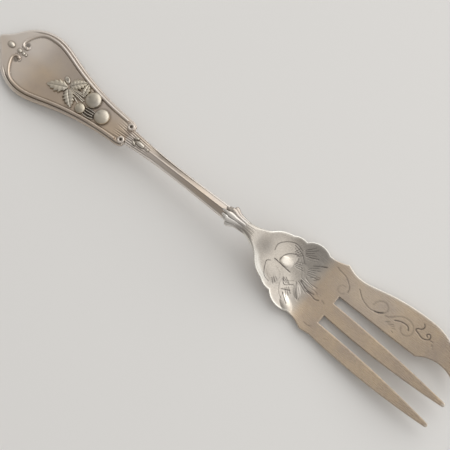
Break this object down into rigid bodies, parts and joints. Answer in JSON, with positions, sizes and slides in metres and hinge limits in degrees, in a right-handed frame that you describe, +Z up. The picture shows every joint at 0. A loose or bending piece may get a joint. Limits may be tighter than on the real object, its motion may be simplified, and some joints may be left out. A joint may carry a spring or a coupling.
{
  "type": "pastry fork",
  "caption": "Silver pastry fork with a wide cutting tine, scalloped bowl, ridged stem and a leaf-shaped handle with fruit and leaf relief.",
  "frame": {"origin": "centre of the bounding box in plan, at table level", "axes": "+X along the fork towards the tines, +Y towards the cutting tine, +Z up from the table"},
  "size_m": [0.1512, 0.023, 0.012],
  "materials": {
    "bright_silver": "polished silver with fine wear",
    "satin_silver": "satin silver, darkened in the recesses",
    "relief_silver": "cast silver, worn bright on the high points"
  },
  "bodies": {
    "root": {"fork_head": "bright_silver", "handle_blank": "satin_silver", "calyx_collar": "relief_silver", "border_rail_left": "satin_silver", "border_rail_right": "satin_silver", "shoulder_ring_left": "satin_silver", "shoulder_ring_right": "satin_silver", "tip_bead": "relief_silver", "crest_bead_front": "relief_silver", "crest_bead_middle": "relief_silver", "crest_bead_back": "relief_silver", "leaf_tip": "relief_silver", "leaf_left": "relief_silver", "leaf_right": "relief_silver", "leaf_side": "relief_silver", "leaf_bud": "relief_silver", "cherry_left": "relief_silver", "cherry_middle": "relief_silver", "cherry_small": "relief_silver", "stalk_left": "relief_silver", "stalk_middle": "relief_silver", "stalk_small": "relief_silver", "stalk_bundle": "relief_silver", "husk_body": "relief_silver", "husk_lobes": "relief_silver", "husk_drop": "relief_silver"}
  },
  "joints": []
}
